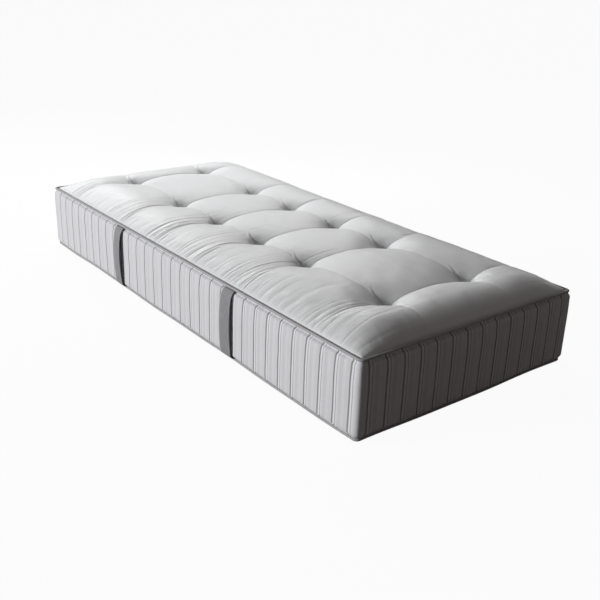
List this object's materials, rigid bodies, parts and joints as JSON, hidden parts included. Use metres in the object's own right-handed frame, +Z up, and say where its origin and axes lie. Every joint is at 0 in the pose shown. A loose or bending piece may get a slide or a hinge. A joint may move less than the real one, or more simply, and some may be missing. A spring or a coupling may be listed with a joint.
{
  "type": "mattress",
  "caption": "Single tufted pocket-spring mattress with satin covers, a striped border between piped seams and webbing lift handles on its long sides.",
  "frame": {"origin": "on the floor, under the middle of the mattress", "axes": "+X along the length, towards the end at the right of the picture; +Y across the width, away from the long side that the picture shows; +Z up"},
  "size_m": [2.0156, 0.94, 0.312],
  "materials": {
    "satin": "satin",
    "ticking": "matte",
    "piping": "matte",
    "webbing": "matte",
    "wadding": "matte",
    "foam": "matte",
    "rail_foam": "matte",
    "felt": "matte",
    "pocket_cloth": "matte",
    "tape": "matte"
  },
  "bodies": {
    "root": {"top_cover": "satin", "bottom_cover": "satin", "border_band": "ticking", "top_piping": "piping", "bottom_piping": "piping", "top_wadding": "wadding", "bottom_wadding": "wadding", "top_foam": "foam", "bottom_foam": "foam", "top_felt": "felt", "bottom_felt": "felt", "handle_front_left": "webbing", "handle_front_right": "webbing", "handle_back_left": "webbing", "handle_back_right": "webbing", "spring_string_01": "pocket_cloth", "spring_string_02": "pocket_cloth", "spring_string_03": "pocket_cloth", "spring_string_04": "pocket_cloth", "spring_string_05": "pocket_cloth", "spring_string_06": "pocket_cloth", "spring_string_07": "pocket_cloth", "spring_string_08": "pocket_cloth", "spring_string_09": "pocket_cloth", "spring_string_10": "pocket_cloth", "spring_string_11": "pocket_cloth", "rail_front": "rail_foam", "rail_back": "rail_foam", "rail_left": "rail_foam", "rail_right": "rail_foam", "tuft_tie_01": "tape", "tuft_tie_02": "tape", "tuft_tie_03": "tape", "tuft_tie_04": "tape", "tuft_tie_05": "tape", "tuft_tie_06": "tape", "tuft_tie_07": "tape", "tuft_tie_08": "tape", "tuft_tie_09": "tape", "tuft_tie_10": "tape", "tuft_tie_11": "tape", "tuft_tie_12": "tape"}
  },
  "joints": []
}
